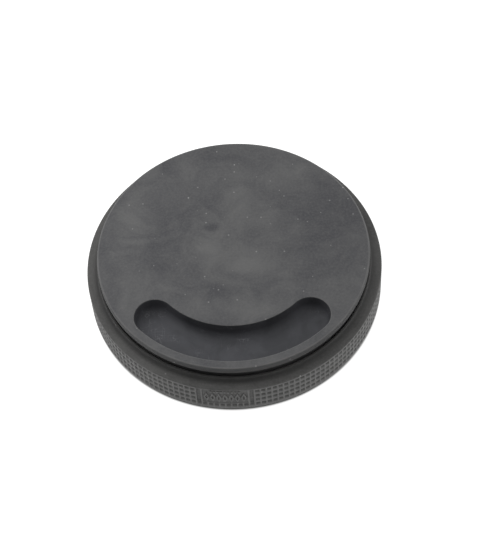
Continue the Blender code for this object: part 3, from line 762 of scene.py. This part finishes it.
def grip_shell(material):
    """The rubber shell: collar, dished shoulder, wall of real pockets, plain panel and rounded foot."""
    bm = bmesh.new()
    columns = column_angles()
    cove_centre = (collar_radius + COVE_RADIUS, collar_top - COLLAR_CHAMFER)
    corner = (base_radius - WALL_TOP_RADIUS, wall_top - WALL_TOP_RADIUS)
    foot = (base_radius - SHELL_EDGE_RADIUS, shell_bottom + SHELL_EDGE_RADIUS)
    cover_seat = cover_high.x + SEAT_GAP
    flange_seat = core_high.x + SEAT_GAP
    flange_top = core_low.z + CORE_FLANGE_HEIGHT + SEAT_GAP
    upper = [
        (shell_bore, collar_top - COLLAR_FLARE_DEPTH),
        (collar_radius - COLLAR_LIP - SMALL_CHAMFER, collar_top - COLLAR_CHAMFER),
        (collar_radius - COLLAR_LIP, collar_top),
        (collar_radius - COLLAR_CHAMFER, collar_top),
    ]
    upper += arc(cove_centre, COVE_RADIUS, pi, 3 * pi / 2, 8)
    upper += [(cove_centre[0] + SMALL_CHAMFER, wall_top), (corner[0] - LEDGE_STRIP, wall_top)]
    upper += arc(corner, WALL_TOP_RADIUS, pi / 2, 0, 5)
    lower = arc(foot, SHELL_EDGE_RADIUS, 0, -pi / 2, 7)
    lower += [
        (cover_seat + SMALL_CHAMFER, shell_bottom),
        (cover_seat, shell_bottom + SMALL_CHAMFER),
        (cover_seat, core_low.z),
        (flange_seat, core_low.z),
        (flange_seat, flange_top),
        (shell_bore, flange_top),
    ]
    rings = [ring_of_columns(bm, columns, *point) for point in upper]
    for height, row, deep in band_rows():
        ring = []
        for angle, cell, offset, across in columns:
            if cell < PANEL_CELLS and row < PANEL_ROWS:
                drop = panel_drop(cell + offset)
            else:
                drop = across * (RIDGE_DROP + (POCKET_DEPTH - RIDGE_DROP) * deep)
            radius = base_radius - drop
            ring.append(bm.verts.new((radius * cos(angle), radius * sin(angle), height)))
        rings.append(ring)
    rings += [ring_of_columns(bm, columns, *point) for point in lower]
    for first, second in zip(rings, rings[1:]):
        skin(bm, first, second)
    skin(bm, rings[-1], rings[0])
    return object_from("rubber_shell", bm, [material])


def panel_drop(along):
    """How far the panel's face lies inside the wall, at this many cells from the middle of its first cell.

    It is flat between two ribs, each with a groove outside it.
    """
    from_end = min(along + 0.5, PANEL_CELLS - 0.5 - along)
    if PANEL_GROOVE_START < from_end < PANEL_GROOVE_END:
        return PANEL_GROOVE_DROP
    if from_end < PANEL_RIB_END:
        return 0.0
    return PANEL_DROP


def panel_relief(material):
    """Plain raised marks on the panel: a row of open lozenges under a row of small pips."""
    bm = bmesh.new()
    wide, tall = LOZENGE_HALF_WIDTH, LOZENGE_HALF_HEIGHT
    lozenge = [(wide, 0), (0, tall), (-wide, 0), (0, -tall)]
    turns = [tau * step / PIP_STEPS for step in range(PIP_STEPS)]
    pip = [(PIP_HALF_WIDTH * cos(a), PIP_HALF_HEIGHT * sin(a)) for a in turns]
    rows = (
        (LOZENGE_COUNT, LOZENGE_SPACING, LOZENGE_MIDDLE, lozenge, LOZENGE_LEVELS),
        (PIP_COUNT, PIP_SPACING, PIP_MIDDLE, pip, PIP_LEVELS),
    )
    for count, spacing, middle, outline, levels in rows:
        for index in range(count):
            from_middle = index - (count - 1) / 2
            stud(bm, panel_middle + from_middle * cell_angle * spacing, middle, outline, levels)
    return object_from("panel_relief", bm, [material])


def stud(bm, angle, height, outline, levels):
    """A raised mark on the panel: the outline, bent round the wall, at each level."""
    face = base_radius - PANEL_DROP
    loops = []
    for proud, share in levels:
        radius = face + proud * MM
        points = []
        for along, up in outline:
            turn = angle + along * share / face
            points.append((radius * cos(turn), radius * sin(turn), height + up * share))
        loops.append(loop_of(bm, points))
    stacked(bm, loops)


def bottom_cover(material):
    """The coated plate, with softened edges, the foot ring's groove and countersunk holes."""
    groove_outer = foot_high.x + SEAT_GAP
    groove_inner = foot_high.x - FOOT_WIDTH - SEAT_GAP
    groove_top = foot_high.z + SEAT_GAP
    section = [
        (0, cover_high.z),
        (cover_high.x, cover_high.z),
        (cover_high.x, cover_low.z),
        (groove_outer, cover_low.z),
        (groove_outer, groove_top),
        (groove_inner, groove_top),
        (groove_inner, cover_low.z),
        (0, cover_low.z),
    ]
    plate = turned("bottom_cover_plate", bevelled(section, COVER_BEVEL), ROUND_STEPS, material)
    head = SCREW_HEAD_RADIUS + SEAT_GAP
    shank = SCREW_SHANK_RADIUS + SEAT_GAP
    above, below = cover_high.z + CUTTER_REACH, cover_low.z - CUTTER_REACH
    hole = [
        (0, above),
        (shank, above),
        (shank, screw_low.z + SCREW_HEAD_HEIGHT),
        (head, screw_low.z),
        (head + HOLE_CLEARANCE, cover_low.z - HOLE_MOUTH),
        (head + HOLE_CLEARANCE, below),
        (0, below),
    ]
    cutters = []
    for name in SCREW_TURNS:
        cutter = turned(f"{name}_hole", hole, SMALL_STEPS, material)
        cutter.location = screw_middle(name)
        cutters.append(cutter)
    return carved(plate, cutters)


def screw_middle(name):
    low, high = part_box(name)
    return ((low.x + high.x) / 2, (low.y + high.y) / 2, 0)


def cover_screw(name, material):
    """A countersunk cross-head screw, driven from below, with a thread of closed rings."""
    top = screw_high.z
    neck = screw_low.z + SCREW_HEAD_HEIGHT
    crest_radius, root_radius = SCREW_SHANK_RADIUS, SCREW_SHANK_RADIUS - THREAD_DEPTH
    section = [(0, top), (SCREW_SHANK_RADIUS - SCREW_TIP_TAPER, top)]
    for index in range(int((top - neck) / THREAD_PITCH) - 1):
        crest = top - (index + 0.75) * THREAD_PITCH
        section += [(crest_radius, crest), (root_radius, crest - THREAD_PITCH / 2)]
    section += [
        (SCREW_SHANK_RADIUS - SCREW_NECK_STEP, neck),
        (SCREW_HEAD_RADIUS, screw_low.z + SCREW_HEAD_RIM),
        (SCREW_HEAD_RADIUS - SCREW_HEAD_CHAMFER, screw_low.z),
        (0, screw_low.z),
    ]
    screw = turned(f"{name}_body", section, SMALL_STEPS, material)
    bm = bmesh.new()
    wide, narrow = CROSS_LENGTH / 2, CROSS_WIDTH / 2
    quarter = [(narrow, -wide), (narrow, -narrow), (wide, -narrow)]
    outline = []
    for index in range(4):
        angle = radians(SCREW_TURNS[name]) + index * pi / 2
        outline += [rotated(point, angle) for point in quarter]
    loops = []
    for up, share in CROSS_LEVELS:
        loops.append(loop_of(bm, [(x * share, y * share, screw_low.z + up) for x, y in outline]))
    stacked(bm, loops)
    cross = object_from(f"{name}_cross", bm, [material])
    made = carved(screw, [cross])
    made.data.transform(Matrix.Translation(screw_middle(name)))
    return made


def carved(solid, cutters):
    """Takes the cutters out of the solid, and removes them."""
    for cutter in cutters:
        modifier = solid.modifiers.new(cutter.name, "BOOLEAN")
        modifier.solver = "EXACT"
        modifier.object = cutter
    graph = bpy.context.evaluated_depsgraph_get()
    mesh = bpy.data.meshes.new_from_object(solid.evaluated_get(graph))
    solid.modifiers.clear()
    solid.data = mesh
    mesh.set_sharp_from_angle(angle=SHARP_ANGLE)
    for cutter in cutters:
        bpy.data.objects.remove(cutter)
    return solid


def foot_ring(material):
    """The non-slip ring: rounded edges and fine grooves in its tread."""
    outer = foot_high.x
    inner = outer - FOOT_WIDTH
    section = [(outer, foot_high.z), (inner, foot_high.z), (inner, FOOT_EDGE), (inner + FOOT_EDGE, 0)]
    step = FOOT_WIDTH / (FOOT_GROOVES + 1)
    for index in range(FOOT_GROOVES):
        middle = inner + (index + 1) * step
        section += [
            (middle - GROOVE_HALF_MOUTH, 0),
            (middle - GROOVE_HALF_FLOOR, GROOVE_DEPTH),
            (middle + GROOVE_HALF_FLOOR, GROOVE_DEPTH),
            (middle + GROOVE_HALF_MOUTH, 0),
        ]
    section += [(outer - FOOT_EDGE, 0), (outer, FOOT_EDGE)]
    return turned("foot_tread", section, ROUND_STEPS, material)


# Build

disc_rubber = rubber(
    "disc_rubber",
    dark=(0.042, 0.0425, 0.047),
    light=(0.0925, 0.0925, 0.0928),
    dusty=(0.125, 0.124, 0.123),
    roughness=0.72,
    grain=0.35,
    painted_shade=painted_shade_under_rim,
    marks_and_painted_light=handled_marks_and_painted_light,
    # paler rounded rim: wear and a painted highlight
    rim=(disc_radius - 0.6 * MM, disc_radius - 0.3 * MM, disc_radius - 0.1 * MM, disc_radius, 0.8),
)
shell_rubber = rubber(
    "shell_rubber",
    dark=(0.036, 0.0357, 0.0347),
    light=(0.074, 0.073, 0.0712),
    dusty=(0.12, 0.119, 0.117),
    roughness=0.66,
    grain=0.3,
    painted_shade=painted_shade_in_cove,
    marks_and_painted_light=streaks_dust_and_painted_light,
    rim=(base_radius - 0.15 * MM, base_radius - 0.03 * MM, base_radius + MM, base_radius + 2 * MM, 0.8),
)
# the tray's rounded edge: paler from wear and a painted highlight along it
edge_wear_and_highlight_rubber = rubber(
    "worn_edge_and_highlight_rubber",
    dark=(0.060, 0.060, 0.061),
    light=(0.095, 0.095, 0.095),
    dusty=(0.16, 0.159, 0.157),
    roughness=0.6,
    grain=0.3,
)

disc = rubber_disc(disc_rubber, tray_rubber(), edge_wear_and_highlight_rubber)
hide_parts("cushion_pad")
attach(disc, "turntable")

shell = grip_shell(shell_rubber)
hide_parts("grip_shell")
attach(shell, "base")

relief = panel_relief(shell_rubber)
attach(relief, "base")

steel = turned_metal("turned_steel", (0.46, 0.46, 0.47), (0.56, 0.55, 0.54), 0.36, 9000)
polished = turned_metal("bearing_steel", (0.66, 0.66, 0.67), (0.74, 0.74, 0.74), 0.16, 14000)
aluminium = turned_metal("machined_aluminium", (0.70, 0.71, 0.72), (0.78, 0.78, 0.78), 0.32, 6000)
spring = turned_metal("spring_steel", (0.36, 0.37, 0.40), (0.46, 0.45, 0.44), 0.3, 9000)
bronze = turned_metal("bronze", (0.58, 0.37, 0.17), (0.68, 0.47, 0.24), 0.34, 8000)
nylon = turned_metal("cage_nylon", (0.74, 0.72, 0.64), (0.80, 0.78, 0.72), 0.48, 5000, metallic=0.0)
black_nylon = turned_metal(
    "black_nylon", (0.028, 0.028, 0.030), (0.042, 0.042, 0.044), 0.42, 5000, metallic=0.0
)
coating = coated_metal()
foot_rubber = rubber(
    "foot_rubber",
    dark=(0.022, 0.022, 0.022),
    light=(0.032, 0.032, 0.032),
    dusty=(0.06, 0.06, 0.06),
    roughness=0.82,
    grain=0.4,
)

underside = [("bottom_cover", "cover_coating", bottom_cover(coating))]
underside += [(name, "turned_steel", cover_screw(name, steel)) for name in SCREW_TURNS]
underside += [("foot_ring", "foot_rubber", foot_ring(foot_rubber))]
for node_name, slot_name, piece in underside:
    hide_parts(node_name)
    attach(piece, "base")

MATERIAL_OF = {
    "turned_steel": steel,
    "bearing_steel": polished,
    "machined_aluminium": aluminium,
    "spring_steel": spring,
    "bronze": bronze,
    "cage_nylon": nylon,
    "black_nylon": black_nylon,
    "cover_coating": coating,
    "foot_rubber": foot_rubber,
    "pad_rubber": disc_rubber,
    "shell_rubber": shell_rubber,
}
for part in frame["record"]["subparts"]:
    mesh = frame["nodes"][part["node"]].data
    mesh.materials.clear()
    mesh.materials.append(MATERIAL_OF[part["material_slot"]])


# Camera, floor and light


def make_camera():
    camera = bpy.data.cameras.new("camera")
    camera.lens = LENS
    camera.shift_x, camera.shift_y = SHIFT
    camera.clip_start = CLIP_START
    seen = bpy.data.objects.new("camera", camera)
    bpy.context.scene.collection.objects.link(seen)
    level = cos(ELEVATION)
    back = Vector((sin(AZIMUTH) * level, -cos(AZIMUTH) * level, sin(ELEVATION)))
    right = Vector((cos(AZIMUTH), sin(AZIMUTH), 0))
    up = back.cross(right)
    rolled_right = cos(ROLL) * right + sin(ROLL) * up
    rolled_up = cos(ROLL) * up - sin(ROLL) * right
    turn = Matrix((rolled_right, rolled_up, back)).transposed()
    seen.matrix_world = Matrix.Translation(back * DISTANCE) @ turn.to_4x4()
    bpy.context.scene.camera = seen


def make_floor():
    bm = bmesh.new()
    rim = loop_of(bm, circle(FLOOR_RADIUS, FLOOR_HEIGHT, SMALL_STEPS))
    bm.faces.new(rim)
    floor = object_from("floor", bm, [pale_floor()])


def make_softbox(name, place_at, size, power):
    light = bpy.data.lights.new(name, "AREA")
    light.shape = "DISK"
    light.size = size
    light.energy = power
    lamp = bpy.data.objects.new(name, light)
    lamp.location = place_at
    lamp.rotation_euler = (-Vector(place_at)).to_track_quat("-Z", "Y").to_euler()
    bpy.context.scene.collection.objects.link(lamp)


def make_world():
    """A light tent: brightest high on one side, dimmer towards the horizon all round."""
    world = bpy.data.worlds.new("tent")
    world.use_nodes = True
    tree = world.node_tree
    background = tree.nodes["Background"]
    direction = node(tree, "ShaderNodeTexCoord").outputs["Generated"]
    overhead = vector_maths(tree, "DOT_PRODUCT", direction, Vector(SKY_MIDDLE).normalized())
    background.inputs["Color"].default_value = (1, 1, 1, 1)
    strength = remap(tree, overhead, *SKY_EDGES, *SKY_STRENGTHS, smooth=True)
    feed(tree, background.inputs["Strength"], strength)
    bpy.context.scene.world = world


make_camera()
make_floor()
make_world()
make_softbox("softbox_left", SOFTBOX_PLACE, SOFTBOX_SIZE, SOFTBOX_POWER)
bpy.context.scene.view_settings.view_transform = "Standard"
